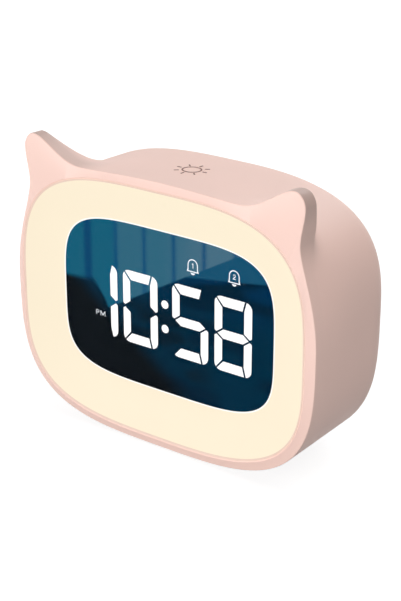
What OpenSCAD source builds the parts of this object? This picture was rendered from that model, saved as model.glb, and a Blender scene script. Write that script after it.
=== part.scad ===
// Bedside alarm clock for children with a night light: a rounded case with two ears,
// a glowing panel round the display, a touch mark on top and five keys at the back.
// X runs to the right, Y from the front to the back and Z up; the feet stand on Z = 0.

/* [Case] */
// Width of the case at its widest level
case_w = 137.4; // [136.8:0.2:146]
// Height of the case at its middle, without the ears and feet
case_h = 105.6; // [104:0.2:112]
// Depth of the case from the front rim to the back edge
case_d = 54; // [52:0.2:66]
// Height of the widest level above the bottom of the case
belly_h = 55.8; // [54:0.2:58]
// Squareness of the lower corners, where 2 is an ellipse
low_square = 3.38; // [3.2:0.02:3.8]
// Squareness of the upper corners behind the ears, where 2 is an ellipse
top_square = 3; // [2.9:0.05:3.5]
// Thickness of the case wall
wall = 2; // [1.6:0.1:2.4]
// Radius of the rounded back edge
back_r = 11.4; // [10:0.2:12.6]
// Radius of the edge round the front
front_r = 0.4; // [0.3:0.1:1]
// How far the front falls back from the light panel to its outer edge
front_fall = 1.65; // [1:0.05:1.8]
// How much the case narrows on each side from the front to the back
draft = 0.2; // [0:0.1:1.2]
// How far the top of the case falls from the front to the back
top_drop = 2; // [0:0.1:2.4]

/* [Ears] */
// Distance of each ear tip in from the widest side
ear_inset = 10.4; // [9:0.2:13]
// Height of the ear tips above the top of the case
ear_h = 8; // [6:0.2:12]
// Depth over which the ears keep their full height
ear_t = 7.2; // [6:0.2:9]
// Depth at which the ears have run out into the case
ear_run = 26.8; // [20:0.2:30]
// Distance of the waist under each ear in from the widest side
waist_in = 7.6; // [6:0.2:8.4]

/* [Front rim and light panel] */
// Width of the rim at the sides
rim_side = 3.9; // [3.7:0.1:6]
// Width of the rim at the bottom
rim_low = 4; // [3.8:0.1:6]
// Width of the rim at the top
rim_top = 3.1; // [3:0.1:5]
// Thickness of the rim that the light panel sits behind
rim_t = 2; // [1.6:0.1:2.6]
// Thickness of the light panel
panel_t = 1.8; // [1.4:0.1:2.2]
// How deep the light panel is dished, down to the lens
dish = 6.2; // [5:0.1:7.5]
// Clearance round pieces that are set into another piece
fit_gap = 0.15; // [0.1:0.05:0.25]
// Diameter of the screw bosses behind the light panel
boss_d = 5; // [4.4:0.1:5.6]

/* [Lens] */
// Width of the display lens
lens_w = 96.7; // [92:0.1:98]
// Height of the display lens
lens_h = 63.9; // [58:0.1:65]
// Height of the lens's lower edge above the bottom of the case
lens_low = 21.4; // [19:0.2:23]
// Thickness of the lens
lens_t = 0.8; // [0.8:0.1:1.6]
// Thickness of the adhesive tape behind the edge of the film
tape_t = 0.3; // [0.25:0.05:0.5]
// Width of the ledge that the tape sticks to
ledge_w = 1.6; // [1.2:0.1:2.2]

/* [Display] */
// Height of the digits
digit_h = 29.3; // [26:0.1:30]
// Width of each digit
digit_w = 16.4; // [15:0.1:16.6]
// Distance from one digit to the next
digit_pitch = 19.25; // [18.8:0.05:19.8]
// Distance of the digits beside the colon from the middle
colon_room = 3.45; // [3:0.05:3.8]
// Width of the upright strokes
stroke = 3.4; // [3:0.1:4]
// Height of the level strokes
bar = 3.8; // [3.2:0.1:4.2]
// Gap between two strokes
stroke_gap = 0.8; // [0.4:0.05:0.9]
// How far the middle of the digits lies below the middle of the lens
digit_drop = 1.45; // [0:0.05:2.5]
// How far the middle of the digits lies to the left of the middle of the lens
digit_left = 0.35; // [0:0.05:0.8]
// Diameter of the colon dots
dot_d = 3.3; // [2.8:0.1:4]
// Distance between the colon dots
dot_pitch = 9.8; // [8:0.2:12]
// Width of the alarm bells
bell_w = 5.4; // [4.6:0.1:6]
// Height of the lower edge of the alarm bells above the middle of the digits
bell_up = 20.7; // [20.2:0.1:21.2]
// Height of the PM letters
letter_h = 2.1; // [1.8:0.1:2.6]
// Thickness of the dark film behind the lens
film_t = 0.2; // [0.15:0.05:0.3]
// Thickness of the display block
block_t = 6.6; // [6:0.1:9]
// Depth of the strokes in the display block
stroke_t = 1; // [0.6:0.1:1.6]

/* [Boards and night light] */
// Thickness of the circuit boards
board_t = 1.6; // [1:0.1:2]
// Width of each night-light LED
led_w = 5; // [3:0.1:5.4]
// Height of each night-light LED
led_t = 1.6; // [1.4:0.1:2]
// Number of night-light LEDs, which stand between the screw bosses
led_count = 12; // [6:6:12]
// Thickness of the light tray's walls
tray_t = 1.2; // [1:0.1:1.4]
// Diameter of the small screws' shanks
screw_d = 2.2; // [2:0.1:2.4]
// Diameter of the round touch plate under the top
touch_d = 15; // [12:0.5:20]
// Depth of the middle of the touch plate and its mark behind the front rim
touch_at = 23; // [20:0.2:26]
// Diameter of the sun mark's ring
sun_d = 7.6; // [6:0.1:9]

/* [Rear cover] */
// Thickness of the rear cover
cover_t = 2.2; // [1.8:0.1:2.6]
// How far the rear cover lies inside the back edge
cover_inset = 0.5; // [0.2:0.1:0.8]
// Flat width of the case round the rear cover
back_lip = 1.5; // [1:0.1:2]
// Width of the ledge that carries the rear cover
seat_w = 2; // [1.5:0.1:2.5]
// Distance of the keys' row below the top of the case
key_drop = 26.6; // [24.6:0.2:27.6]
// Distance from one key to the next
key_pitch = 14; // [13:0.2:15]
// Width of each key
key_w = 9.4; // [8:0.2:10]
// Height of each key
key_h = 6; // [5:0.2:7]
// How far the keys stand out of the rear cover
key_proud = 1.2; // [0.8:0.1:1.8]
// Travel of each key
key_travel = 0.4; // [0.3:0.05:0.5]
// Height of the switches' bodies
switch_h = 3.5; // [3:0.1:4.5]
// Length of the switch stems outside their bodies
stem_l = 2.1; // [1.6:0.1:2.6]

/* [Speaker] */
// Diameter of the speaker
speaker_d = 32; // [28:0.5:33]
// Distance of the speaker to the left of the middle
speaker_x = 31.6; // [31:0.2:32.4]
// Height of the speaker above the bottom of the case
speaker_h = 41; // [40:0.2:42]
// Diameter of the speaker holes
grille_d = 2; // [1.4:0.1:2.2]

/* [Batteries] */
// Diameter of the backup cells
cell_d = 10.5; // [10:0.1:10.5]
// Length of the backup cells, with their button
cell_l = 44.5; // [43:0.1:44.5]
// Length of the cell springs when the cells are in
spring_l = 4; // [3:0.1:4.4]
// Thickness of the battery bay's walls
bay_t = 1.5; // [1.2:0.1:1.8]
// Distance of the battery bay to the right of the middle
bay_x = 12.7; // [12.6:0.1:13.4]
// Height of the lower edge of the battery door above the bottom of the case
bay_low = 24; // [23.4:0.1:24.4]
// Thickness of the battery door
door_t = 1.8; // [1.4:0.1:2]
// How far the battery door opens
door_angle = 70; // [30:5:75]

/* [Feet] */
// Diameter of the rubber feet
foot_d = 9; // [7:0.2:10]
// How far the feet stand out under the case
foot_proud = 0.8; // [0.6:0.1:1.6]
// Distance of each foot from the middle
foot_x = 26; // [22:0.5:28]

/* [Hidden] */
$fn = 48;

// Depths behind the front rim, from the front to the back
panel_seat = rim_t + panel_t;
lens_back = dish + lens_t;
block_front = lens_back + film_t;
ledge_front = block_front + tape_t;
board_front = block_front + block_t;
tray_back = board_front - tray_t;
board_back = board_front + board_t;
cover_back = case_d - cover_inset;
cover_front = cover_back - cover_t;
key_flange_t = 1;
key_rest = cover_front - 0.1;
switch_top = key_rest - key_flange_t - stem_l;
key_board_back = switch_top - switch_h;
key_board_front = key_board_back - board_t;
door_front = cover_back - door_t;

// The origin lies midway between the front rim and the ends of the keys
front_y = -(cover_back + key_proud) / 2;

// The case's outline is a lower and an upper superellipse that meet at the widest level
side_x = case_w / 2;
top_z = case_h - belly_h;
low_steps = 20;
// Corner points of each ear: its waist, outer side, tip and inner foot
ear_x = side_x - ear_inset;
tip_z = top_z + ear_h;
waist = [side_x - waist_in, top_z - 11.2];
ear_side = [ear_x + 4.5, tip_z - 5.6];
ear_foot = [ear_x - 22.9, top_z - 1.2];
// Bezier stretches from the widest level over the ear to the middle of the top
EAR_CURVES = [
    [[side_x, 0], [side_x, waist.y * 0.47], [waist.x + 0.45, waist.y * 0.78], waist],
    [waist, waist + [0, 4.6], ear_side - [0, 4.6], ear_side],
    [ear_side, ear_side + [0, 2.5], [ear_x + 2.6, tip_z], [ear_x, tip_z]],
    [[ear_x, tip_z], [ear_x - 6.4, tip_z - 0.1], ear_foot + [10.5, -0.05], ear_foot],
    [ear_foot, ear_foot + [-7.5, 0.1], [ear_foot.x * 0.42, top_z], [0, top_z]]
];
EAR_STEPS = [6, 3, 5, 8, 5];
fade_steps = 8;
edge_step = 15;

// The light panel's and the lens's outlines, as [half width, level, up, down, squareness up and down]
panel_level = rim_low + (case_h - rim_low - rim_top) * 0.462;
PANEL = [side_x - rim_side, panel_level, case_h - rim_top - panel_level, panel_level - rim_low, 3.42, 3.2];
lens_level = lens_low + lens_h * 0.461;
LENS = [lens_w / 2, lens_level, lens_low + lens_h - lens_level, lens_level - lens_low, 4.32, 4.16];
panel_step = 5;
dish_steps = 4;
// The flange of the panel fills the pocket that the narrowest rim leaves inside the wall
pocket_w = rim_top - wall;
flange_w = pocket_w - fit_gap;
pocket_back = board_back + 1.5;
// The bosses stand where this share of the way from the rim to the lens is passed
boss_share = 0.62;
boss_step = 60;
led_share = 0.5;

// Places of the digits, from the left, about the dots between them, and the strokes that are lit in each
digit_mid = lens_low + lens_h / 2 - digit_drop;
half_digit = digit_w / 2;
near_x = colon_room + half_digit;
far_x = near_x + digit_pitch;
DIGIT_X = [-far_x, -near_x, near_x, far_x];
LIT = ["bc", "abcdef", "acdfg", "abcdefg"];
STROKES = "abcdefg";
bell_h = digit_mid + bell_up;
bell_1_x = near_x + 1.25;
bell_2_x = far_x + 0.3;
letters_x = -far_x - 2.6;
letters_z = digit_mid - 7.3;
line_w = 0.55;
bell_line = 0.42;
block_margin = 2.5;
block_w = 2 * (far_x + half_digit + block_margin + digit_left);
block_low = digit_mid - digit_h / 2 - block_margin;
block_high = digit_mid + digit_h / 2 + block_margin;
pin_d = 0.6;
pin_pitch = 2.54;

// Cover screws: their posts stand under the speaker and the battery bay and beside the key board
post_d = 7;
post_l = 24;
head_d = 4.4;
head_t = 1.5;
cover_head_sink = 1;
cover_screw_l = 9;

// Keys, switches and their board
KEY_X = [for (i = [-2:2]) i * key_pitch];
key_board_w = 4 * key_pitch + key_w + 4;
key_board_drop = 11;
key_row_h = case_h - key_drop;
key_board_low = key_row_h - key_board_drop;
key_board_top = key_row_h + key_h / 2 + 4;
switch_w = 6;
stem_d = 3.5;
stem_gap = 0.05;
KEY_SCREWS = [for (i = [-1.5, 0, 1.5]) [i * key_pitch, key_board_low + head_d / 2 + 1]];
socket_w = 9;
socket_h = 3.3;
socket_x = -2.35 * key_pitch;
socket_z = key_board_low + 3.6;

// Battery bay: three cells side by side, with a latch room above them
cell_gap = 0.4;
contact_t = 0.4;
latch_room = 2.8;
bay_w = cell_l + spring_l + 2 * contact_t;
bay_h = 3 * cell_d + 4 * cell_gap + latch_room;
bay_floor = door_front - cell_d - 0.6;
bay_z = bay_low + bay_t;
door_gap = 0.2;
tab_w = 6;
tab_t = 1.2;
tab_l = 2.3;
tab_x = bay_w / 4;
latch_w = 12;
latch_h = 4;
wire_d = 1.2;
lead_gap = 0.1;

// Places of the posts, the lower two first
post_low_x = case_w * 0.218;
post_low_h = back_r + back_lip + head_d + 1.2;
post_high_x = key_board_w / 2 + post_d / 2 + 1.2;
POSTS = [for (h = [post_low_h, key_row_h], s = [-1, 1]) [s * (h < belly_h ? post_low_x : post_high_x), h]];

function cubic(c, t) = pow(1 - t, 3) * c[0] + 3 * t * pow(1 - t, 2) * c[1]
    + 3 * t * t * (1 - t) * c[2] + pow(t, 3) * c[3];

// Point of a superellipse at an angle from its middle, moved out by grow along its normal
function super_r(a, b, n, t) = pow(pow(abs(cos(t)) / a, n) + pow(abs(sin(t)) / b, n), -1 / n);
function super_normal(a, b, n, p) = let(g = [
    sign(p.x) * pow(abs(p.x) / a, n - 1) / a,
    sign(p.y) * pow(abs(p.y) / b, n - 1) / b
]) g / norm(g);
function super_point(a, b, n, t, grow) = let(p = super_r(a, b, n, t) * [cos(t), sin(t)])
    p + grow * super_normal(a, b, n, p);

// Point of an outline given as a list, at its height above the bottom of the case
function outline_point(o, t, grow = 0) = [0, o[1]]
    + (sin(t) >= 0 ? super_point(o[0], o[2], o[4], t, grow) : super_point(o[0], o[3], o[5], t, grow));
function outline(o, grow = 0) = [for (t = [0:panel_step:359]) outline_point(o, t, grow)];

// Front outline of the case with its ears, from the middle of the bottom round to the right
FRONT_RIGHT = concat(
    [for (i = [0:low_steps - 1]) super_point(side_x, belly_h, low_square, 90 * i / low_steps - 90, 0)],
    [for (k = [0:4]) for (i = [0:EAR_STEPS[k] - 1]) cubic(EAR_CURVES[k], i / EAR_STEPS[k])],
    [[0, top_z]]
);
FRONT = concat(FRONT_RIGHT, [for (i = [len(FRONT_RIGHT) - 2:-1:1]) [-FRONT_RIGHT[i].x, FRONT_RIGHT[i].y]]);
COUNT = len(FRONT);
ANGLES = [for (p = FRONT) atan2(p.y, p.x)];
function front_normal(i) = let(v = FRONT[(i + 1) % COUNT] - FRONT[(i + COUNT - 1) % COUNT])
    [v.y, -v.x] / norm(v);
// Outline of the case behind the ears at a depth
function body_at(d) = [side_x - draft * d / case_d, belly_h, top_z - top_drop * d / case_d, belly_h,
    top_square, low_square];

// Ring of the case's outside at a depth, drawn in by inset, with this share of the ears
function case_ring(d, inset, ear) = [for (i = [0:COUNT - 1])
    let(p = outline_point(body_at(d), ANGLES[i], -inset),
        f = FRONT[i],
        fall = f.y > 0 ? top_drop * d / case_d * f.y / top_z : 0,
        q = f + [0, belly_h - fall] - inset * front_normal(i),
        m = p + ear * (q - p))
    [m.x, d, m.y]];
// Ring of the pocket that holds the light panel
function pocket_ring(d, grow) = [for (t = ANGLES) let(p = outline_point(PANEL, t, grow)) [p.x, d, p.y]];
// Share of the ears that is left after a share u of their run
function ear_fade(u) = pow(1 - u, 3) * (1 + 1.1 * u);

// Closed skin through a loop of rings, whose last ring joins the first
module ring_loop(rings) {
    n = len(rings[0]);
    m = len(rings);
    faces = [for (j = [0:m - 1]) for (i = [0:n - 1])
        let(a = j * n + i, b = j * n + (i + 1) % n, c = ((j + 1) % m) * n + (i + 1) % n, e = ((j + 1) % m) * n + i)
        each [[a, b, c], [a, c, e]]];
    polyhedron([for (r = rings) each r], faces, convexity = 8);
}

// Puts a piece that is drawn from the front rim and the bottom of the case in its place
module in_case() {
    translate([0, front_y, foot_proud]) children();
}

// Flat shape, drawn as seen from the front, made solid between two depths
module slab(from, to) {
    translate([0, to, 0]) rotate([90, 0, 0]) linear_extrude(to - from) children();
}

module rod(x, z, d, from, to) {
    slab(from, to) translate([x, z]) circle(d = d);
}

module block(x, z, w, h, from, to) {
    slab(from, to) translate([x, z]) square([w, h], center = true);
}

module oblong(w, h) {
    square([w - h, h], center = true);
    for (s = [-1, 1]) translate([s * (w - h) / 2, 0]) circle(d = h);
}

// Wire along a list of points, as a tube with eight sides
module wire(points, d) {
    n = len(points);
    sides = 8;
    along = [for (i = [0:n - 1]) let(v = points[min(i + 1, n - 1)] - points[max(i - 1, 0)]) v / norm(v)];
    rings = [for (i = [0:n - 1])
        let(s = cross(along[i], [1, 0.2, 0.1]), u = s / norm(s), w = cross(along[i], u))
        [for (k = [0:sides - 1]) points[i] + d / 2 * (cos(360 * k / sides) * u + sin(360 * k / sides) * w)]];
    faces = concat(
        [[for (k = [0:sides - 1]) k]],
        [[for (k = [sides - 1:-1:0]) (n - 1) * sides + k]],
        [for (j = [0:n - 2]) for (k = [0:sides - 1])
            let(a = j * sides + k, b = j * sides + (k + 1) % sides)
            each [[a, a + sides, b + sides], [a, b + sides, b]]]
    );
    polyhedron([for (r = rings) each r], faces, convexity = 8);
}

// Points of a curved lead from one place to another, which leaves both ends along its handles
function lead_path(a, b, bow_a, bow_b, n = 8) = [for (i = [0:n]) cubic([a, a + bow_a, b + bow_b, b], i / n)];

// Screw along the depth, with its head at the back end
module screw(x, z, d, from, to) {
    rod(x, z, d, from, to);
    difference() {
        rod(x, z, head_d, to, to + head_t);
        for (a = [0, 90]) slab(to + head_t / 2, to + head_t + 1)
            translate([x, z]) rotate(a) square([head_d * 0.6, 0.6], center = true);
    }
}

function band_point(t, share) = outline_point(PANEL, t) * (1 - share) + outline_point(LENS, t) * share;
// Depth of the dished front of the light panel after a share of the way to the lens
function dish_depth(share) = fit_gap + (dish - fit_gap) * (1 - pow(1 - share, 1.6));
BOSSES = [for (t = [0:boss_step:359]) band_point(t, boss_share)];
LEDS = [for (i = [0:led_count - 1]) band_point((i + 0.5) * 360 / led_count, led_share)];

// Half width of the case at a height, for ribs that reach its wall
function case_x(h) = let(o = h > belly_h ? [top_z, top_square] : [belly_h, low_square])
    side_x * pow(1 - pow(abs(h - belly_h) / o[0], o[1]), 1 / o[1]);

module case_shell() {
    inner_r = back_r - wall;
    opening = back_r + back_lip;
    color("#f6d2c6") in_case() difference() {
        union() {
            ring_loop(concat(
                [pocket_ring(0, 0)],
                [for (a = [0:45:90]) case_ring(front_fall + front_r * (1 - cos(a)), front_r * (1 - sin(a)), 1)],
                [for (k = [0:fade_steps])
                    case_ring(ear_t + (ear_run - ear_t) * k / fade_steps, 0, ear_fade(k / fade_steps))],
                [for (a = [0:edge_step:90])
                    case_ring(case_d - back_r + back_r * sin(a), back_r * (1 - cos(a)), 0)],
                [case_ring(case_d, opening, 0)],
                [case_ring(cover_front, opening, 0)],
                [case_ring(cover_front, opening + seat_w, 0)],
                [case_ring(cover_front - wall, opening + seat_w, 0)],
                [for (a = [50, 25, 0])
                    case_ring(case_d - back_r + inner_r * sin(a), wall + inner_r * (1 - cos(a)), 0)],
                [case_ring(pocket_back + 4, wall, 0)],
                [pocket_ring(pocket_back, pocket_w)],
                [pocket_ring(rim_t, pocket_w)],
                [pocket_ring(rim_t, 0)]
            ));
            for (p = POSTS) rod(p.x, p.y, post_d, cover_front - post_l, cover_front);
            slab(cover_front - post_l, case_d - back_r + wall) for (p = POSTS) {
                web_end = case_x(p.y) - draft - wall / 2;
                if (p.y < belly_h) translate([p.x - wall / 2, wall]) square([wall, p.y - wall]);
                else translate([min(p.x, sign(p.x) * web_end), p.y - wall / 2])
                    square([web_end - abs(p.x), wall]);
            }
        }
        for (p = POSTS) rod(p.x, p.y, screw_d - 0.4, cover_front - cover_screw_l, cover_front + 1);
        feet(foot_d + 2 * fit_gap);
    }
}

module feet(d) {
    sink = 1.4;
    for (s = [-1, 1], y = [foot_d + 3, case_d - back_r - foot_d / 2])
        translate([s * foot_x, y, -foot_proud]) cylinder(d = d, h = foot_proud + sink);
}

module rubber_feet() {
    color("#8a8079") in_case() feet(foot_d);
}

module light_panel() {
    function ring(d, o, grow) = [for (p = outline(o, grow)) [p.x, d, p.y]];
    function band(d, share, grow) = [for (t = [0:panel_step:359])
        let(p = outline_point(PANEL, t, -fit_gap) * (1 - share) + outline_point(LENS, t, grow) * share)
        [p.x, d, p.y]];
    ledge_back = ledge_front + panel_t;
    color("#fff1d6") in_case() difference() {
        union() {
            ring_loop(concat(
                [ring(ledge_front, LENS, -ledge_w), ring(ledge_front, LENS, fit_gap)],
                [for (k = [dish_steps:-1:0])
                    band(dish_depth(k / dish_steps), k / dish_steps, fit_gap)],
                [ring(rim_t, PANEL, -fit_gap), ring(rim_t, PANEL, flange_w)],
                [ring(panel_seat, PANEL, flange_w), ring(panel_seat, PANEL, flange_w - 2 * tray_t)],
                [for (k = [1:dish_steps])
                    band(dish_depth(k / dish_steps) + panel_t, k / dish_steps, panel_t)],
                [ring(ledge_back, LENS, panel_t), ring(ledge_back, LENS, -ledge_w)]
            ));
            for (p = BOSSES) rod(p.x, p.y, boss_d, dish_depth(boss_share) + panel_t * 0.66, tray_back);
        }
        for (p = BOSSES) rod(p.x, p.y, screw_d - 0.4, tray_back - 4, tray_back + 1);
    }
}

module display_lens() {
    color("#17607a", 0.6) in_case() slab(dish, lens_back) polygon(outline(LENS));
}

module lens_tape() {
    color("#202124") in_case() slab(block_front, ledge_front) difference() {
        polygon(outline(LENS, -0.1));
        polygon(outline(LENS, -ledge_w));
    }
}

// Corner of a digit as an arc about its centre
function corner(x, z, r, from, to) = [for (i = [0:4]) let(a = from + (to - from) * i / 4) [x + r * cos(a), z + r * sin(a)]];

// Outline of one stroke of a digit about the digit's middle; the lower ones mirror the upper ones
function stroke_points(name) =
    let(w = half_digit, h = digit_h / 2, s = stroke, g = stroke_gap / 2, r = 2.9, lean = 1, c = 1.25 * g,
        m = bar * 0.475, notch = 0.9)
    name == "a" ? concat([[s - w + 1.4 * g, h - bar]], corner(r - w, h - r, r, 129, 90),
        [[w - s + lean - 2 * g, h], [w - s - 2 * g, h - bar]])
    : name == "b" ? concat([[w - s, m + c], [w - s, h - bar], [w - s + lean, h]],
        corner(w - r, h - r, r, 78, 0), [[w, c + 0.65 * notch], [w - notch, c]])
    : name == "f" ? concat([[notch - w, c], [-w, c + 0.65 * notch]], corner(r - w, h - r, r, 180, 141),
        [[s - w, h - bar - 1.4 * g], [s - w, m + c]])
    : name == "g" ? [[notch - w + c, 0], [s - w + c, m], [w - s - c, m], [w - notch - c, 0],
        [w - s - c, -m], [s - w + c, -m]]
    : [for (p = stroke_points(name == "d" ? "a" : name == "c" ? "b" : "f")) [p.x, -p.y]];

module strokes(lit) {
    for (i = [0:3], name = STROKES)
        if ((len(search(name, LIT[i])) > 0) == lit)
            translate([DIGIT_X[i] - digit_left, digit_mid]) polygon(stroke_points(name));
}

module dots() {
    for (s = [-1, 1]) translate([-digit_left, digit_mid + s * dot_pitch / 2]) circle(d = dot_d);
}

// Right half of a bell's outline, drawn in by inset, and the whole of it by mirroring
function bell_half(inset) = let(w = bell_w / 2, r = bell_w * 0.43, top = bell_w * 0.93)
    concat([[w - inset * 1.8, inset], [r - inset, 1.3], [r - inset, top - r]],
        [for (a = [15:15:90]) [(r - inset) * cos(a), top - r + (r - inset) * sin(a)]]);
function bell_points(inset) = let(b = bell_half(inset))
    concat(b, [for (i = [len(b) - 2:-1:0]) [-b[i].x, b[i].y]]);

module bell() {
    difference() {
        polygon(bell_points(0));
        polygon(bell_points(bell_line));
    }
    difference() {
        translate([0, -0.05]) circle(d = 2.1);
        translate([-2, -0.3]) square([4, 3]);
    }
}

module bell_1() {
    translate([bell_1_x - digit_left, bell_h]) {
        bell();
        translate([0.1, 2.45]) square([0.3, 1.9], center = true);
        translate([-0.13, 3.15]) rotate(40) square([0.6, 0.26], center = true);
    }
}

module bell_2() {
    translate([bell_2_x - digit_left, bell_h]) {
        bell();
        translate([0, 1.63]) square([1.3, 0.28], center = true);
        translate([0.02, 2.2]) rotate(45) square([1.35, 0.3], center = true);
        difference() {
            translate([0, 2.83]) circle(d = 1.25);
            translate([0, 2.83]) circle(d = 0.7);
            translate([-1, 1.85]) rotate(20) square([0.9, 1.05]);
        }
    }
}

module pm_letters() {
    t = letter_h * 0.14;
    w = letter_h * 0.7;
    translate([letters_x - digit_left, letters_z]) {
        difference() {
            union() {
                square([t, letter_h]);
                translate([0, letter_h * 0.42]) square([w * 0.6, letter_h * 0.58]);
                translate([w * 0.6, letter_h * 0.71]) circle(d = letter_h * 0.58);
            }
            translate([t, letter_h * 0.42 + t]) square([w * 0.6 - t, letter_h * 0.58 - 2 * t]);
            translate([w * 0.6, letter_h * 0.71]) circle(d = letter_h * 0.58 - 2 * t);
        }
        translate([letter_h, 0]) {
            m = letter_h * 1.15;
            polygon([[0, 0], [t, 0], [t, letter_h * 0.66], [m / 2 - t / 2, letter_h * 0.1],
                [m / 2 + t / 2, letter_h * 0.1], [m - t, letter_h * 0.66], [m - t, 0], [m, 0],
                [m, letter_h], [m - t * 1.2, letter_h], [m / 2, letter_h * 0.36], [t * 1.2, letter_h], [0, letter_h]]);
        }
    }
}

// The bells and letters are printed into the front half of the film
print_back = lens_back + film_t / 2;

module display_film() {
    color("#0a2333") in_case() difference() {
        slab(lens_back, block_front) difference() {
            polygon(outline(LENS, -0.1));
            strokes(true);
            strokes(false);
            dots();
        }
        slab(lens_back - 1, print_back) {
            bell_1();
            bell_2();
            pm_letters();
        }
    }
}

module light_shape() {
    in_case() slab(lens_back, block_front + stroke_t) children();
}

module lit_segments() {
    color("white") light_shape() strokes(true);
}

module unlit_segments() {
    color("#14303f") light_shape() strokes(false);
}

module colon_dots() {
    color("white") light_shape() dots();
}

module alarm_1_icon() {
    color("white") in_case() slab(lens_back, print_back) bell_1();
}

module alarm_2_icon() {
    color("white") in_case() slab(lens_back, print_back) bell_2();
}

module pm_mark() {
    color("white") in_case() slab(lens_back, print_back) pm_letters();
}

module display_block() {
    color("#1c1d20") in_case() difference() {
        slab(block_front, board_front) {
            translate([-block_w / 2, block_low]) square([block_w, block_high - block_low]);
            translate([bell_1_x - bell_w, block_low])
                square([bell_2_x - bell_1_x + 1.8 * bell_w, bell_h + bell_w * 1.05 - block_low]);
        }
        slab(block_front - 1, block_front + stroke_t) {
            strokes(true);
            strokes(false);
            dots();
        }
    }
}

function pin_places() = [for (z = [block_low + 3, block_high - 3], i = [-5.5:5.5]) [i * pin_pitch, z]];

module display_pins() {
    color("silver") in_case() for (p = pin_places()) rod(p.x, p.y, pin_d, board_front, board_back + 1.5);
}

module light_tray() {
    rim = flange_w - 0.1;
    color("white") in_case() difference() {
        union() {
            slab(panel_seat, board_front) difference() {
                polygon(outline(PANEL, rim));
                polygon(outline(PANEL, rim - tray_t));
            }
            slab(tray_back, board_front) difference() {
                polygon(outline(PANEL, rim));
                polygon(outline(LENS, panel_t - tray_t));
            }
            slab(ledge_front + panel_t, board_front) difference() {
                polygon(outline(LENS, panel_t));
                polygon(outline(LENS, panel_t - tray_t));
            }
        }
        for (p = BOSSES) rod(p.x, p.y, screw_d + 0.4, tray_back - 1, board_front + 1);
        for (p = LEDS) block(p.x, p.y, led_w + 0.6, led_w + 0.6, tray_back - 1, board_front + 1);
    }
}

module night_light_leds() {
    color("#ffe9a8") in_case() for (p = LEDS) difference() {
        block(p.x, p.y, led_w, led_w, board_front - led_t, board_front);
        rod(p.x, p.y, led_w * 0.7, board_front - led_t - 1, board_front - led_t * 0.8);
    }
}

module main_board() {
    color("#2f7d4f") in_case() difference() {
        slab(board_front, board_back) polygon(outline(PANEL, 0));
        for (p = BOSSES) rod(p.x, p.y, screw_d + 0.2, board_front - 1, board_back + 1);
        for (p = pin_places()) rod(p.x, p.y, pin_d + 0.3, board_front - 1, board_back + 1);
    }
}

module board_screws() {
    color("silver") in_case() for (p = BOSSES) screw(p.x, p.y, screw_d - 0.4, tray_back - 3.5, board_back);
}

chip_z = digit_mid + 4;
chip_w = 10;
chip_t = 1.8;
leg_pitch = 1.27;
module clock_chip() {
    leg_l = 1.5;
    color("#26282b") in_case() {
        block(0, chip_z, chip_w, chip_w, board_back + 0.1, board_back + chip_t);
        for (s = [-1, 1], i = [-3.5:3.5])
            block(s * (chip_w + leg_l) / 2, chip_z + i * leg_pitch, leg_l, leg_pitch * 0.35, board_back,
                board_back + chip_t / 2);
    }
}

module crystal() {
    can_r = 1.5;
    can_l = 8;
    color("silver") in_case() translate([chip_w * 1.4, board_back + can_r, chip_z]) rotate([0, 90, 0])
        cylinder(r = can_r, h = can_l);
}

module buffer_capacitor() {
    can_d = 6.3;
    can_l = 7.7;
    color("#31466b") in_case() rod(-1.6 * chip_w, chip_z, can_d, board_back, board_back + can_l);
}

// Sockets for the leads and the ribbon, on the back of the main board and the front of the key board
touch_socket = [9, case_h - rim_top - 9];
ribbon_x = 24;
ribbon_z = key_row_h - 13;
ribbon_w = 10;
socket_t = 4;
lead_socket_w = 5;
lead_socket_z = key_board_low + lead_socket_w / 2 + 0.5;
// Across the battery bay's middle, where its leads leave
battery_lead_x = bay_x - 0.4 * key_pitch;
module lead_sockets() {
    color("#efe9dc") in_case() {
        block(touch_socket.x, touch_socket.y, lead_socket_w, lead_socket_w, board_back, board_back + socket_t);
        block(ribbon_x, ribbon_z, ribbon_w + 3, socket_t, board_back, board_back + socket_t);
        block(ribbon_x, key_row_h, ribbon_w + 3, socket_t, key_board_front - socket_t, key_board_front);
        for (x = [-speaker_x, battery_lead_x])
            block(x, lead_socket_z, lead_socket_w + 1, lead_socket_w, key_board_front - socket_t, key_board_front);
    }
}

module board_ribbon() {
    t = 0.8;
    back = key_board_front - socket_t;
    path = lead_path([board_back + socket_t, ribbon_z], [back, key_row_h], [7, 0], [-7, 0], 12);
    side = [for (i = [0:12]) let(v = path[min(i + 1, 12)] - path[max(i - 1, 0)]) [-v.y, v.x] / norm(v) * t / 2];
    color("#d9d9d6") in_case() translate([ribbon_x - ribbon_w / 2, 0, 0]) rotate([90, 0, 90])
        linear_extrude(ribbon_w)
        polygon(concat([for (i = [0:12]) path[i] + side[i]], [for (i = [12:-1:0]) path[i] - side[i]]));
}

// Puts a piece on the sloping top of the case, over the middle of the touch plate
module on_top() {
    in_case() translate([0, 0, case_h]) rotate([-atan(top_drop / case_d), 0, 0]) translate([0, touch_at, 0])
        children();
}

touch_t = 0.3;
glue_t = 0.1;
touch_low = case_h - top_drop * touch_at / case_d - wall - touch_t - glue_t;
module touch_plate() {
    color("#c98d4f") on_top() translate([0, 0, -wall - touch_t - glue_t]) cylinder(d = touch_d, h = touch_t);
}

module touch_lead() {
    start = [touch_socket.x, board_back + socket_t + lead_gap, touch_socket.y];
    end = [touch_d / 4, touch_at, touch_low - lead_gap];
    color("#c8443c") in_case() wire(lead_path(start, end, [0, 4, 0], [0, 0, -4]), wire_d);
}

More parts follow.
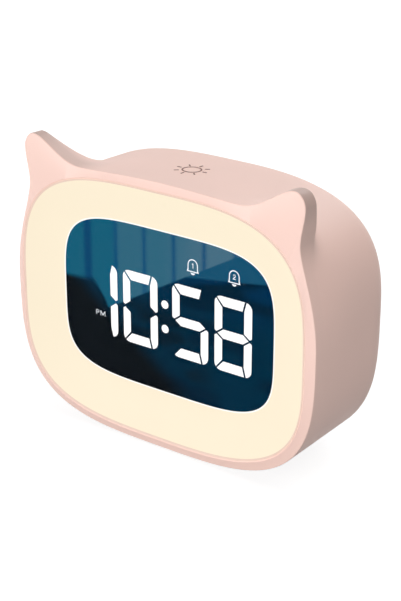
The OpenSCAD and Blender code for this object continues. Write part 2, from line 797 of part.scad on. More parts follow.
module sun_mark() {
    ink = 0.1;
    color("#9c7a72") on_top() linear_extrude(ink) {
        difference() {
            circle(d = sun_d);
            circle(d = sun_d - 2 * line_w);
        }
        for (a = [0:45:359]) rotate(a) translate([sun_d / 2 + 1.95, 0]) square([1.8, line_w], center = true);
    }
}

module bay_box(grow) {
    translate([bay_x, bay_z + bay_h / 2]) square([bay_w + 2 * grow, bay_h + 2 * grow], center = true);
}

module latch_shape(grow) {
    translate([bay_x, bay_z + bay_h + bay_t + latch_h / 2 - 0.5])
        square([latch_w + 2 * grow, latch_h + 1 + 2 * grow], center = true);
}

module rear_cover() {
    rib_l = 3;
    holes = [[0, 1], [1, 6], [2, 12], [3, 18]];
    color("#f3cfc3") in_case() difference() {
        union() {
            slab(cover_front, cover_back)
                polygon([for (i = [0:COUNT - 1])
                    outline_point(body_at(case_d), ANGLES[i], -back_r - back_lip - fit_gap)]);
            slab(bay_floor - bay_t, cover_front + 0.1) bay_box(bay_t);
            rod(-speaker_x, speaker_h, speaker_d + 0.4 + 2 * tray_t, cover_front - rib_l, cover_front + 0.1);
            for (p = KEY_SCREWS) rod(p.x, p.y, boss_d, key_board_back, cover_front + 0.1);
        }
        slab(bay_floor, cover_back + 1) bay_box(0);
        slab(door_front, cover_back + 1) {
            bay_box(bay_t);
            latch_shape(door_gap);
        }
        rod(-speaker_x, speaker_h, speaker_d + 0.4, cover_front - rib_l - 1, cover_front);
        for (ring = holes, i = [0:ring[1] - 1])
            rod(-speaker_x + ring[0] * 3.8 * cos(360 * i / ring[1]), speaker_h + ring[0] * 3.8 * sin(360 * i / ring[1]),
                grille_d, cover_front - 1, cover_back + 1);
        for (x = KEY_X) slab(cover_front - 1, cover_back + 1) translate([x, key_row_h])
            oblong(key_w + 0.4, key_h + 0.4);
        slab(cover_front - 1, cover_back + 1) translate([socket_x, socket_z]) oblong(socket_w + 0.4, socket_h + 0.4);
        for (p = POSTS) {
            rod(p.x, p.y, screw_d + 0.4, cover_front - 1, cover_back + 1);
            rod(p.x, p.y, head_d + 0.8, cover_back - cover_head_sink, cover_back + 1);
        }
        for (p = KEY_SCREWS) rod(p.x, p.y, screw_d - 0.4, key_board_back - 1, cover_front - 1);
        for (s = [-1, 1]) block(bay_x + s * tab_x, bay_low + bay_t / 2, tab_w + 0.6, bay_t + 1,
            door_front - 4.5, cover_front);
        for (s = [-1, 1]) block(bay_x + s * tab_x, bay_low + bay_t / 2 + door_gap, tab_w + 0.6, bay_t,
            cover_front - 1, door_front + 1);
    }
}

module cover_screws() {
    color("silver") in_case() for (p = POSTS)
        screw(p.x, p.y, screw_d - 0.4, cover_front - cover_screw_l + 0.5, cover_back - cover_head_sink);
}

module battery_door() {
    plate_low = bay_low + door_gap;
    plate_top = bay_z + bay_h + bay_t - door_gap;
    leg_h = 1;
    color("#f3cfc3") in_case() {
        slab(door_front, cover_back) {
            translate([bay_x, (plate_low + plate_top) / 2])
                square([bay_w + 2 * bay_t - 2 * door_gap, plate_top - plate_low], center = true);
            latch_shape(0);
        }
        for (s = [-1, 1]) {
            block(bay_x + s * tab_x, plate_low + bay_t / 2, tab_w, bay_t, cover_front - 0.1 - tab_t, door_front);
            block(bay_x + s * tab_x, plate_low + bay_t / 2 - tab_l / 2, tab_w, bay_t + tab_l,
                cover_front - 0.1 - tab_t, cover_front - 0.1);
        }
        block(bay_x, bay_z + bay_h - latch_room / 2 - 0.6, latch_w, leg_h, door_front - 5, door_front);
    }
}

function cell_z(i) = bay_z + cell_gap + cell_d / 2 + i * (cell_d + cell_gap);
function cell_sign(i) = i % 2 == 0 ? 1 : -1;
cell_y = bay_floor + 0.2 + cell_d / 2;

module battery_cells() {
    button_l = 1;
    color("#d7dbe0") in_case() for (i = [0:2]) translate([bay_x + cell_sign(i) * spring_l / 2, cell_y, cell_z(i)])
        rotate([0, cell_sign(i) * 90, 0]) translate([0, 0, -cell_l / 2]) {
            cylinder(d = cell_d, h = cell_l - button_l);
            cylinder(d = 3.8, h = cell_l);
        }
}

module battery_contacts() {
    color("#c9ccd1") in_case() for (i = [0:2], s = [-1, 1])
        translate([bay_x + s * (bay_w - contact_t) / 2, cell_y, cell_z(i)])
            cube([contact_t, cell_d - 2, cell_d - 1.4], center = true);
}

module battery_springs() {
    turns = 3;
    steps = 12;
    wire_t = 0.6;
    color("#c9ccd1") in_case() for (i = [0:2])
        translate([bay_x - cell_sign(i) * (bay_w / 2 - contact_t), cell_y, cell_z(i)])
            rotate([0, cell_sign(i) * 90, 0])
            wire([for (k = [0:turns * steps]) let(u = k / (turns * steps), a = 360 * k / steps, r = 3.6 - 1.2 * u)
                [r * cos(a), r * sin(a), wire_t / 2 + (spring_l - wire_t) * u]], wire_t);
}

// Leads from the battery bay and the speaker to their sockets on the key board
module battery_leads() {
    for (s = [-1, 1]) color(s > 0 ? "#c8443c" : "#222222") in_case()
        wire(lead_path([battery_lead_x + s, bay_floor - bay_t - lead_gap, bay_z + bay_h],
            [battery_lead_x + s, key_board_front - socket_t - lead_gap, lead_socket_z], [0, -4, 0], [0, -4, 0]), wire_d);
}

module speaker_leads() {
    for (s = [-1, 1]) color(s > 0 ? "#c8443c" : "#222222") in_case()
        wire(lead_path([-speaker_x + s, cover_front - 3.1, speaker_h + speaker_d / 2 - 3],
            [-speaker_x + s, key_board_front - socket_t - lead_gap, lead_socket_z], [0, -6, 2], [0, -5, 0]), wire_d);
}

module key_board() {
    color("#2f7d4f") in_case() difference() {
        block(0, (key_board_low + key_board_top) / 2, key_board_w, key_board_top - key_board_low,
            key_board_front, key_board_back);
        for (p = KEY_SCREWS) rod(p.x, p.y, screw_d + 0.2, key_board_front - 1, key_board_back + 1);
    }
}

module key_board_screws() {
    color("silver") in_case() for (p = KEY_SCREWS)
        translate([0, 2 * key_board_front, 0]) mirror([0, 1, 0])
            screw(p.x, p.y, screw_d - 0.4, key_board_front - board_t - 4, key_board_front);
}

module switch_bodies() {
    color("#3a3c40") in_case() for (x = KEY_X) difference() {
        block(x, key_row_h, switch_w, switch_w, key_board_back, switch_top);
        rod(x, key_row_h, stem_d + 2 * stem_gap, switch_top - 0.4 - key_travel - 0.3, switch_top + 1);
    }
}

module stem(i) {
    color("#1f2023") in_case() rod(KEY_X[i], key_row_h, stem_d, switch_top - 0.4, switch_top + stem_l);
}

module key(i) {
    color("#fbe4db") in_case() translate([KEY_X[i], 0, key_row_h]) {
        slab(key_rest - key_flange_t, key_rest) oblong(key_w + 1.6, key_h + 1.6);
        slab(key_rest - 0.01, cover_back + key_proud) oblong(key_w, key_h);
    }
}

module set_stem() {
    stem(0);
}

module alarm_1_stem() {
    stem(1);
}

module alarm_2_stem() {
    stem(2);
}

module minus_stem() {
    stem(3);
}

module plus_stem() {
    stem(4);
}

module set_key() {
    key(0);
}

module alarm_1_key() {
    key(1);
}

module alarm_2_key() {
    key(2);
}

module minus_key() {
    key(3);
}

module plus_key() {
    key(4);
}

module power_socket() {
    shell = 0.35;
    mouth = cover_front + 0.8;
    color("silver") in_case() translate([socket_x, 0, socket_z]) {
        slab(key_board_back, mouth) difference() {
            oblong(socket_w, socket_h);
            oblong(socket_w - 2 * shell, socket_h - 2 * shell);
        }
        slab(key_board_back, key_board_back + 1.5) oblong(socket_w, socket_h);
        slab(key_board_back, mouth - 0.8) square([socket_w - 2.4, 0.8], center = true);
    }
}

// Turned shape about the speaker's axis, whose profile is drawn as [radius, distance in from the cover]
module at_speaker() {
    color("#2b2d31") in_case() translate([-speaker_x, cover_front, speaker_h]) rotate([90, 0, 0])
        rotate_extrude() children();
}

speaker_r = speaker_d / 2;
basket_l = 5.2;
basket_in = basket_l - 1;
magnet_l = 4;
module speaker_frame() {
    at_speaker() polygon([[speaker_r - 2, 0], [speaker_r, 0], [speaker_r, 1.6], [speaker_r - 2, 1.6],
        [speaker_r * 0.55, basket_l], [speaker_r * 0.2, basket_l], [speaker_r * 0.2, basket_in],
        [speaker_r * 0.5, basket_in], [speaker_r - 2, 1]]);
}

module speaker_cone() {
    rim_r = speaker_r - 2.05;
    at_speaker() polygon([[0, 3], [speaker_r * 0.2, 3.4], [rim_r - 1, 0.9], [rim_r, 0.6], [rim_r, 0.3],
        [rim_r - 1, 0.5], [speaker_r * 0.2, 3], [0, 2.6]]);
}

module speaker_magnet() {
    at_speaker() translate([0, basket_l]) square([speaker_r * 0.5, magnet_l]);
}

case_shell();
light_panel();
display_lens();
lens_tape();
display_film();
lit_segments();
unlit_segments();
colon_dots();
alarm_1_icon();
alarm_2_icon();
pm_mark();
display_block();
display_pins();
light_tray();
night_light_leds();
main_board();
clock_chip();
crystal();
buffer_capacitor();
lead_sockets();
board_screws();
touch_plate();
touch_lead();
sun_mark();
rear_cover();
cover_screws();
key_board();
key_board_screws();
switch_bodies();
set_stem();
alarm_1_stem();
alarm_2_stem();
minus_stem();
plus_stem();
set_key();
alarm_1_key();
alarm_2_key();
minus_key();
plus_key();
power_socket();
speaker_frame();
speaker_cone();
speaker_magnet();
speaker_leads();
battery_door();
battery_cells();
battery_springs();
battery_contacts();
battery_leads();
board_ribbon();
rubber_feet();
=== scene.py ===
import math

import bmesh
import bpy
from mathutils import Matrix, Vector


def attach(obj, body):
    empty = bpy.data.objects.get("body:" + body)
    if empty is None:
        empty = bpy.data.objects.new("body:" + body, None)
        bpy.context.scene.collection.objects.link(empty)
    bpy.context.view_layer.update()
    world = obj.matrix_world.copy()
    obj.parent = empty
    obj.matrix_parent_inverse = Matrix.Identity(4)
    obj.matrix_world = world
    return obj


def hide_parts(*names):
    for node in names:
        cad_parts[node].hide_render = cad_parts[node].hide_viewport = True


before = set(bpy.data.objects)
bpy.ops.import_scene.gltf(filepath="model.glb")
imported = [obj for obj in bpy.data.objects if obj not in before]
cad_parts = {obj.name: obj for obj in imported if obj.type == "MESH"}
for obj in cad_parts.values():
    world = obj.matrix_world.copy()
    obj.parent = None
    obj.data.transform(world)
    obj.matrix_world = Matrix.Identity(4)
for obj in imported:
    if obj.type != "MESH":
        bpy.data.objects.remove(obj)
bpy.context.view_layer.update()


# --- Camera ---------------------------------------------------------------
# A portrait lens a little over half a metre away, right of the clock and above it.
# Lengths are in millimetres until they become a mesh; the table and the lamps are in metres.
MM = 0.001
turn, lift = math.radians(36.58), math.radians(22.5)
right = Vector((math.cos(turn), math.sin(turn), 0))
back = Vector((math.sin(turn) * math.cos(lift), -math.cos(turn) * math.cos(lift), math.sin(lift)))
camera = bpy.data.objects.new("camera", bpy.data.cameras.new("camera"))
camera.data.sensor_fit = "VERTICAL"
camera.data.sensor_height = 36
camera.data.lens = 87.91
camera.data.clip_start = 0.01
camera.matrix_world = Matrix((right, back.cross(right), back)).transposed().to_4x4()
camera.location = Vector((308.141, -414.325, 266.327)) * MM
bpy.context.collection.objects.link(camera)
bpy.context.scene.camera = camera
bpy.context.scene.view_settings.view_transform = "Standard"


# --- Case -----------------------------------------------------------------
# One injection-moulded ABS shell with two ears that run out into its round back.
# It is skinned through rings, from the rim round the outside to the cover's seat and back inside.
CASE_W, CASE_H, CASE_D = 137.4, 105.6, 54.0
BELLY = 55.8  # level of the widest part
LOW_SQUARE, TOP_SQUARE = 3.38, 3.0  # squareness of the corners, where 2 is an ellipse
BACK_R, FRONT_R, WALL = 11.4, 0.4, 2.0
DRAFT, TOP_DROP = 0.2, 2.0  # what each side and the top lose from front to back
FRONT_Y, FOOT = -27.35, 0.8  # place of the front and height of the rubber feet
SIDE_X, TOP_Z = CASE_W / 2, CASE_H - BELLY
EAR_TIP = Vector((SIDE_X - 10.4, TOP_Z + 8))
EAR_T, EAR_RUN = 7.2, 26.8  # depths at which the ears start to fade and have run out
RIM_SIDE, RIM_LOW, RIM_TOP, RIM_T = 3.9, 4.0, 3.1, 2.0  # widths of the rim, and its thickness
FRONT_FALL = 1.65  # how far the rim falls back from its inner to its outer edge
PANEL_LEVEL = RIM_LOW + (CASE_H - RIM_LOW - RIM_TOP) * 0.462
PANEL = (SIDE_X - RIM_SIDE, PANEL_LEVEL, 3.42, 3.2, CASE_H - RIM_TOP, RIM_LOW)
NOISE_LOW, NOISE_HIGH = 0.3, 0.7  # nearly all of a noise lies between these


def linear(code):
    """Linear colour of an sRGB hex value."""
    parts = [int(code[i:i + 2], 16) / 255 for i in (1, 3, 5)]
    return [p / 12.92 if p <= 0.04045 else ((p + 0.055) / 1.055) ** 2.4 for p in parts] + [1]


def add(tree, kind, inputs=(), **settings):
    """Adds a node; each input is a value or the socket that feeds it."""
    node = tree.nodes.new(kind)
    for key, value in settings.items():
        setattr(node, key, value)
    for key, value in dict(inputs).items():
        if isinstance(value, bpy.types.NodeSocket):
            tree.links.new(value, node.inputs[key])
        else:
            node.inputs[key].default_value = value
    return node


def blank(name):
    """New material with nothing in its node tree."""
    material = bpy.data.materials.new(name)
    material.use_nodes = True
    material.node_tree.nodes.clear()
    return material, material.node_tree


def satin_plastic(name, code, grain, roughness, bump):
    """Moulded plastic: its grain, as wide as given in mm, spreads the shine; flow clouds vary the colour.

    A spark-eroded mould leaves grain of about 0.1 mm, so it is drawn as coarse as it needs to show."""
    material, tree = blank(name)
    place = add(tree, "ShaderNodeTexCoord").outputs["Object"]
    clouds = add(tree, "ShaderNodeTexNoise", {
        "Vector": place, "Scale": 1 / (35 * MM), "Detail": 2}).outputs[0]
    pores = add(tree, "ShaderNodeTexNoise", {
        "Vector": place, "Scale": 1 / (grain * MM), "Detail": 1}).outputs[0]
    tone = add(tree, "ShaderNodeMapRange", {
        0: clouds, 1: NOISE_LOW, 2: NOISE_HIGH, 3: 0.985, 4: 1.015}).outputs[0]
    tinted = add(tree, "ShaderNodeVectorMath", {
        0: linear(code)[:3], "Scale": tone}, operation="SCALE").outputs[0]
    rough = add(tree, "ShaderNodeMapRange", {
        0: pores, 1: NOISE_LOW, 2: NOISE_HIGH, 3: roughness - 0.04, 4: roughness + 0.04}).outputs[0]
    relief = add(tree, "ShaderNodeBump", {"Height": pores, "Distance": bump * MM, "Strength": 0.6}).outputs[0]
    shader = add(tree, "ShaderNodeBsdfPrincipled", {
        "Base Color": tinted, "Roughness": rough, "Normal": relief, "IOR": 1.5})
    add(tree, "ShaderNodeOutputMaterial", {"Surface": shader.outputs[0]})
    return material, shader


def super_point(a, b, n, t, grow=0.0):
    """Point at angle t of an outline with half sizes a and b and squareness n, grown outwards."""
    c, s = math.cos(t), math.sin(t)
    r = ((abs(c) / a) ** n + (abs(s) / b) ** n) ** (-1 / n)
    p = Vector((r * c, r * s))
    slope_x = math.copysign((abs(p.x) / a) ** (n - 1) / a, p.x)
    slope_y = math.copysign((abs(p.y) / b) ** (n - 1) / b, p.y)
    return p + grow * Vector((slope_x, slope_y)).normalized()


def outline_point(outline, t, grow=0.0):
    """Point of an outline: half width, widest level, upper and lower squareness, top and bottom."""
    half, level, upper, lower, top, bottom = outline
    if math.sin(t) >= 0:
        p = super_point(half, top - level, upper, t, grow)
    else:
        p = super_point(half, level - bottom, lower, t, grow)
    return p + Vector((0, level))


def cubic(c, t):
    """Point of a curve that is pulled by four points."""
    return (1 - t) ** 3 * c[0] + 3 * t * (1 - t) ** 2 * c[1] + 3 * t * t * (1 - t) * c[2] + t ** 3 * c[3]


def front_outline():
    """Outline of the front with its ears, from the middle of the bottom anticlockwise, belly at 0."""
    waist = Vector((SIDE_X - 7.6, TOP_Z - 11.2))
    side, tip, foot = EAR_TIP + Vector((4.5, -5.6)), EAR_TIP, Vector((EAR_TIP.x - 22.9, TOP_Z - 1.2))
    up = Vector((0, 4.6))
    low_pull, waist_pull = Vector((SIDE_X, waist.y * 0.47)), Vector((waist.x + 0.45, waist.y * 0.78))
    curves = [
        (20, [Vector((SIDE_X, 0)), low_pull, waist_pull, waist]),
        (12, [waist, waist + up, side - up, side]),
        (16, [side, side + Vector((0, 2.5)), tip + Vector((2.6, 0)), tip]),
        (26, [tip, tip + Vector((-6.4, -0.1)), foot + Vector((10.5, -0.05)), foot]),
        (14, [foot, foot + Vector((-7.5, 0.1)), Vector((foot.x * 0.42, TOP_Z)), Vector((0, TOP_Z))]),
    ]
    half = [super_point(SIDE_X, BELLY, LOW_SQUARE, math.radians(90 * i / 56 - 90)) for i in range(56)]
    for steps, pulls in curves:
        half += [cubic(pulls, i / steps) for i in range(steps)]
    half.append(Vector((0, TOP_Z)))
    return half + [Vector((-p.x, p.y)) for p in half[-2:0:-1]]


FRONT = front_outline()
ANGLES = [math.atan2(p.y, p.x) for p in FRONT]
FRONT_NORMALS = []
for before, after in zip(FRONT[-1:] + FRONT[:-1], FRONT[1:] + FRONT[:1]):
    way = after - before
    FRONT_NORMALS.append(Vector((way.y, -way.x)).normalized())

# an ear's outer flank: where it begins above the belly, and the ways up and out to its full share
FLANK_LOW, FLANK_RISE, FLANK_OUT = 30, 16, 3
# it widens from this depth on, by so much at the tip's level and more with the square of the drop
WIDEN_FROM, WIDEN_AT_TIP, WIDEN_BELOW = 2.2, 0.9, 0.014


def flank(p):
    """Share of an ear's outer flank at a point of the rim: none at the tip and well below the waist."""
    outer = min(max((abs(p.x) - EAR_TIP.x) / FLANK_OUT, 0), 1)
    above = min(max((p.y - FLANK_LOW) / FLANK_RISE, 0), 1)
    return outer * above * above * (3 - 2 * above)


def spread(p, d):
    """How much further back a point lies on an ear's outer flank, which widens towards the waist."""
    if d < WIDEN_FROM or d > EAR_RUN:
        return 0
    if d < EAR_T:
        reach = (d - WIDEN_FROM) / (EAR_T - WIDEN_FROM)
    else:
        reach = ((EAR_RUN - d) / (EAR_RUN - EAR_T)) ** 2
    return flank(p) * reach * (WIDEN_AT_TIP + WIDEN_BELOW * max(EAR_TIP.y - p.y, 0) ** 2)


def case_ring(d, inset, ear):
    """Ring of the case at a depth behind the rim, drawn in by inset, with a share of the ears."""
    share = d / CASE_D
    body = (SIDE_X - DRAFT * share, BELLY, TOP_SQUARE, LOW_SQUARE, CASE_H - TOP_DROP * share, 0)
    ring = []
    for p, t, normal in zip(FRONT, ANGLES, FRONT_NORMALS):
        fall = TOP_DROP * share * max(p.y, 0) / TOP_Z
        eared = p + Vector((0, BELLY - fall)) - inset * normal
        m = outline_point(body, t, -inset).lerp(eared, ear)
        further = spread(p, d) if inset == 0 else 0
        ring.append((m.x, d + further, m.y))
    return ring


def panel_ring(d, grow):
    """Ring of the case along the light panel."""
    return [(p.x, d, p.y) for p in (outline_point(PANEL, t, grow) for t in ANGLES)]


def skin(name, rings, material, loop=True, caps=False, crease=32):
    """Piece skinned through rings of as many points each; edges sharper than crease degrees stay hard.

    The rings are drawn from the rim and the bottom of the case, and are put in the clock's frame."""
    n = len(rings[0])
    starts = [j * n for j in range(len(rings))]
    faces = []
    for low, high in zip(starts, starts[1:] + starts[:1] if loop else starts[1:]):
        faces += [(low + i, low + (i + 1) % n, high + (i + 1) % n, high + i) for i in range(n)]
    if caps:
        faces += [tuple(range(n))[::-1], tuple(range(starts[-1], starts[-1] + n))]
    mesh = bpy.data.meshes.new(name)
    points = [Vector((x, y + FRONT_Y, z + FOOT)) * MM for ring in rings for x, y, z in ring]
    mesh.from_pydata(points, [], faces)
    work = bmesh.new()
    work.from_mesh(mesh)
    bmesh.ops.recalc_face_normals(work, faces=work.faces)
    for face in work.faces:
        face.smooth = True
    for edge in work.edges:
        edge.smooth = len(edge.link_faces) == 2 and edge.calc_face_angle() < math.radians(crease)
    work.to_mesh(mesh)
    work.free()
    mesh.materials.append(material)
    piece = bpy.data.objects.new(name, mesh)
    bpy.context.collection.objects.link(piece)
    return piece


def arc(n, start=0, stop=90):
    """Angles of n equal steps from start to stop, given in degrees."""
    return [math.radians(start + (stop - start) * k / n) for k in range(n + 1)]


def along(table, value):
    """Value of a broken line through (place, height) pairs, flat beyond its ends."""
    for (a, low), (b, high) in zip(table, table[1:]):
        if value < b:
            return low + (high - low) * max(value - a, 0) / (b - a)
    return table[-1][1]


# the rim's soft inner edge and its rounded outer one
rings = [panel_ring(0.45, 0), panel_ring(0.2, 0.3), panel_ring(0.15, 0.45)]
rings += [case_ring(FRONT_FALL + FRONT_R * (1 - math.cos(a)), FRONT_R * (1 - math.sin(a)), 1) for a in arc(4)]
RIM_END = len(rings) - 1
# the ears keep their height to EAR_T, then fade into the top
rings += [case_ring(FRONT_FALL + (EAR_T - FRONT_FALL) * k / 3, 0, 1) for k in (1, 2)]
EAR_BACK = len(rings)
FADE_STEPS = 26
for k in range(FADE_STEPS + 1):
    run = k / FADE_STEPS
    rings.append(case_ring(EAR_T + (EAR_RUN - EAR_T) * run, 0, (1 - run) ** 3 * (1 + 1.1 * run)))
# the round back and the opening with the cover's seat; the cover lies a little sunk in it
BACK_LIP, SEAT_W, COVER_SUNK, COVER_T = 1.5, 2, 0.5, 2.2
OPENING = BACK_R + BACK_LIP
SEAT_IN = OPENING + SEAT_W
COVER_FRONT = CASE_D - COVER_SUNK - COVER_T
BACK_START = CASE_D - BACK_R
rings += [case_ring(EAR_RUN + (BACK_START - EAR_RUN) * k / 6, 0, 0) for k in range(1, 6)]
rings += [case_ring(CASE_D - BACK_R * (1 - math.sin(a)), BACK_R * (1 - math.cos(a)), 0) for a in arc(12)]
rings += [case_ring(CASE_D, OPENING - 0.2, 0), case_ring(CASE_D - 0.2, OPENING, 0)]
rings += [case_ring(COVER_FRONT, OPENING, 0), case_ring(COVER_FRONT, SEAT_IN, 0)]
rings += [case_ring(COVER_FRONT - WALL, SEAT_IN, 0)]
# the inside, and the pocket behind the rim that holds the light panel
INNER_R = BACK_R - WALL
POCKET_BACK, POCKET_W = 16.9, RIM_TOP - WALL
for a in arc(5, 50, 0):
    rings.append(case_ring(BACK_START + INNER_R * math.sin(a), WALL + INNER_R * (1 - math.cos(a)), 0))
rings += [case_ring(POCKET_BACK + 4, WALL, 0), panel_ring(POCKET_BACK, POCKET_W)]
rings += [panel_ring(RIM_T, POCKET_W), panel_ring(RIM_T, 0)]

# Painted shade on the ears' edges, as the share of the pink that they lose: by height above the belly on the
# flanks, and from left to right on the crowns. The soft tables give the rings behind the edge over which it
# returns.
FLANK_PAINTED_SHADE = ((28, 0), (33, 0.07), (38.6, 0.2), (45, 0.19), (52.2, 0.36), (57.8, 0.4))
FLANK_SOFT = ((40, 9), (50, 0))
CROWN_PAINTED_SHADE = ((-58.3, 0.4), (-50, 0.27), (-38, 0.2), (-28, 0), (38, 0), (50, 0.1), (58.3, 0.4))
CROWN_SOFT = ((-56, 2), (-50, 12), (0, 14), (0.1, 0))


def painted_ear_shade(ring, p):
    """How much of the base colour the case keeps: shade is painted on the edges of the ears.

    The rim's own face keeps all of it, and so does all below the belly."""
    if ring < RIM_END:
        return 1
    if abs(p.x) > EAR_TIP.x:
        shade_share, soft = along(FLANK_PAINTED_SHADE, p.y), along(FLANK_SOFT, p.y)
    else:
        shade_share, soft = along(CROWN_PAINTED_SHADE, p.x) * (p.y > 0), along(CROWN_SOFT, p.x)
    return 1 - shade_share * min(max(1 - (ring - EAR_BACK) / (1 + soft), 0), 1)


# the satin grain turns every highlight into a broad soft patch
case_pink, shader = satin_plastic("ABS, moulded with a fine satin grain, pink", "#fad6ca", 0.4, 0.5, 0.006)
tree = case_pink.node_tree
# a painted shade, stored per point, darkens the pink on the ears' edges
keep = add(tree, "ShaderNodeAttribute", attribute_name="painted_ear_shade").outputs["Fac"]
pink = shader.inputs["Base Color"].links[0].from_socket
shaded_pink = add(tree, "ShaderNodeVectorMath", {0: pink, "Scale": keep}, operation="SCALE").outputs[0]
tree.links.new(shaded_pink, shader.inputs["Base Color"])
case = skin("case", rings, case_pink)
painted_shades = case.data.attributes.new("painted_ear_shade", "FLOAT", "POINT")
painted_shades.data.foreach_set("value", [painted_ear_shade(ring, p) for ring in range(len(rings)) for p in FRONT])
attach(case, "clock")
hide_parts("case_shell")


# --- Night-light panel ----------------------------------------------------
# An opal acrylic diffuser, dished from the rim down to the lens and set in from behind.
# The LEDs behind it make it glow an even warm cream; only faint clouds break it up.
LENS_W, LENS_H, LENS_LOW = 96.7, 63.9, 21.4
LENS = (LENS_W / 2, LENS_LOW + LENS_H * 0.461, 4.32, 4.16, LENS_LOW + LENS_H, LENS_LOW)
DISH_TOP, DISH, LENS_BACK, LEDGE = 0.15, 6.2, 7.0, 7.5  # depths behind the rim's inner edge
PANEL_T, LEDGE_W, LIP_W, FLANGE_W, TRAY_T, GAP = 1.8, 1.6, 0.6, 0.95, 1.15, 0.15
PLAY, LENS_PLAY = 0.05, 0.04  # between the panel and the rim, and round the lens
SEAT = 0.04  # share of the dish that the case's seat keeps the light from, about 0.6 mm
STEPS = 288
TURNS = [2 * math.pi * i / STEPS for i in range(STEPS)]


def outline_ring(outline, d, grow):
    """Ring at a depth along an outline."""
    return [(p.x, d, p.y) for p in (outline_point(outline, t, grow) for t in TURNS)]


def band_ring(d, share, grow):
    """Ring at a depth between the panel's edge, share 0, and the lens, share 1."""
    ring = []
    for t in TURNS:
        p = outline_point(PANEL, t, -PLAY).lerp(outline_point(LENS, t, grow), share)
        ring.append((p.x, d, p.y))
    return ring


def dish_depth(share):
    """Depth of the dish, which is steep at the rim and levels out at the lens."""
    return DISH_TOP + (DISH - DISH_TOP) * (1 - (1 - share) ** 1.6)


def lit_plastic(name, body, glow, low, high, cloud, roughness, specular=0.5):
    """Milky plastic with light behind it: its glow runs from low to high in clouds as wide as given in mm."""
    material, tree = blank(name)
    place = add(tree, "ShaderNodeTexCoord").outputs["Object"]
    clouds = add(tree, "ShaderNodeTexNoise", {
        "Vector": place, "Scale": 1 / (cloud * MM), "Detail": 1}).outputs[0]
    level = add(tree, "ShaderNodeMapRange", {
        0: clouds, 1: NOISE_LOW, 2: NOISE_HIGH, 3: low, 4: high}).outputs[0]
    shader = add(tree, "ShaderNodeBsdfPrincipled", {
        "Base Color": linear(body), "Roughness": roughness, "Specular IOR Level": specular,
        "Emission Color": linear(glow), "Emission Strength": level})
    add(tree, "ShaderNodeOutputMaterial", {"Surface": shader.outputs[0]})
    return material


def finish_rows(piece, rows, material):
    """Gives the faces between two rings of a piece a finish of their own."""
    piece.data.materials.append(material)
    for face in piece.data.polygons[rows[0] * STEPS:rows[1] * STEPS]:
        face.material_index = len(piece.data.materials) - 1


# frosting takes the gloss off the cream; it is finer than 0.4 mm and drawn as coarse as it needs to show
opal, tree = blank("Opal acrylic, lit from behind, warm cream")
place = add(tree, "ShaderNodeTexCoord").outputs["Object"]
clouds = add(tree, "ShaderNodeTexNoise", {"Vector": place, "Scale": 1 / (18 * MM), "Detail": 2}).outputs[0]
level = add(tree, "ShaderNodeMapRange", {
    0: clouds, 1: NOISE_LOW, 2: NOISE_HIGH, 3: 0.865, 4: 0.875}).outputs[0]
frost = add(tree, "ShaderNodeTexNoise", {"Vector": place, "Scale": 1 / (0.4 * MM), "Detail": 1}).outputs[0]
relief = add(tree, "ShaderNodeBump", {"Height": frost, "Distance": 0.004 * MM, "Strength": 0.5}).outputs[0]
shader = add(tree, "ShaderNodeBsdfPrincipled", {
    "Base Color": linear("#5a554b"), "Roughness": 0.55, "IOR": 1.49, "Specular IOR Level": 0.2,
    "Normal": relief, "Emission Color": linear("#fff1d6"), "Emission Strength": level})
add(tree, "ShaderNodeOutputMaterial", {"Surface": shader.outputs[0]})

# rings 0 to 2: the ledge behind the lens and the wall of its hole; 2 to 4: the lip round the lens
LEDGE_ROWS, LIP_ROWS, SEAT_ROWS = (0, 2), (2, 4), (20, 22)
rings = [outline_ring(LENS, LEDGE, -LEDGE_W), outline_ring(LENS, LEDGE, LENS_PLAY)]
rings += [outline_ring(LENS, DISH, LENS_PLAY), outline_ring(LENS, DISH - LENS_PLAY, 2 * LENS_PLAY)]
rings += [outline_ring(LENS, DISH - 0.05, LIP_W)]
# rings 4 to 20: the dish; 20 to 22: the edge that the case's seat shades
rings += [band_ring(dish_depth(k / 16), k / 16, GAP) for k in range(15, 0, -1)]
rings += [band_ring(dish_depth(SEAT), SEAT, GAP), band_ring(dish_depth(0), 0, GAP)]
# the flange behind the rim, and the back
rings += [outline_ring(PANEL, RIM_T, -PLAY), outline_ring(PANEL, RIM_T, FLANGE_W)]
rings += [outline_ring(PANEL, RIM_T + PANEL_T, grow) for grow in (FLANGE_W, FLANGE_W - 2 * TRAY_T)]
rings += [band_ring(dish_depth(k / 8) + PANEL_T, k / 8, PANEL_T) for k in range(1, 9)]
rings += [outline_ring(LENS, LEDGE + PANEL_T, PANEL_T), outline_ring(LENS, LEDGE + PANEL_T, -LEDGE_W)]
panel = skin("night_light_panel", rings, opal)
# the polished lip gathers the light of the dish and draws a thin white line round the lens
lip_white = lit_plastic("Opal acrylic, polished lip, white", "#5c5a56", "#fffdf8", 0.94, 0.98, 3, 0.3, 0.2)
finish_rows(panel, LIP_ROWS, lip_white)
# over its seat in the case the acrylic gets less light and takes on the pink of the rim
edge_opal = lit_plastic("Opal acrylic, over its seat, shaded", "#5a4c46", "#f7dac9", 0.78, 0.82, 4, 0.55, 0.2)
finish_rows(panel, SEAT_ROWS, edge_opal)
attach(panel, "clock")
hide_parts("light_panel")


# --- Display film and digits ----------------------------------------------
# A polyester film, screen printed in a near-black ink, hides the digit block behind the lens.
# A painted reflection of a dim room glows on it, from a striped teal at the top to navy and black.
FOLD, VALLEY = 13.7, 37.2  # width of a fold in the striped teal, and way left to the first valley


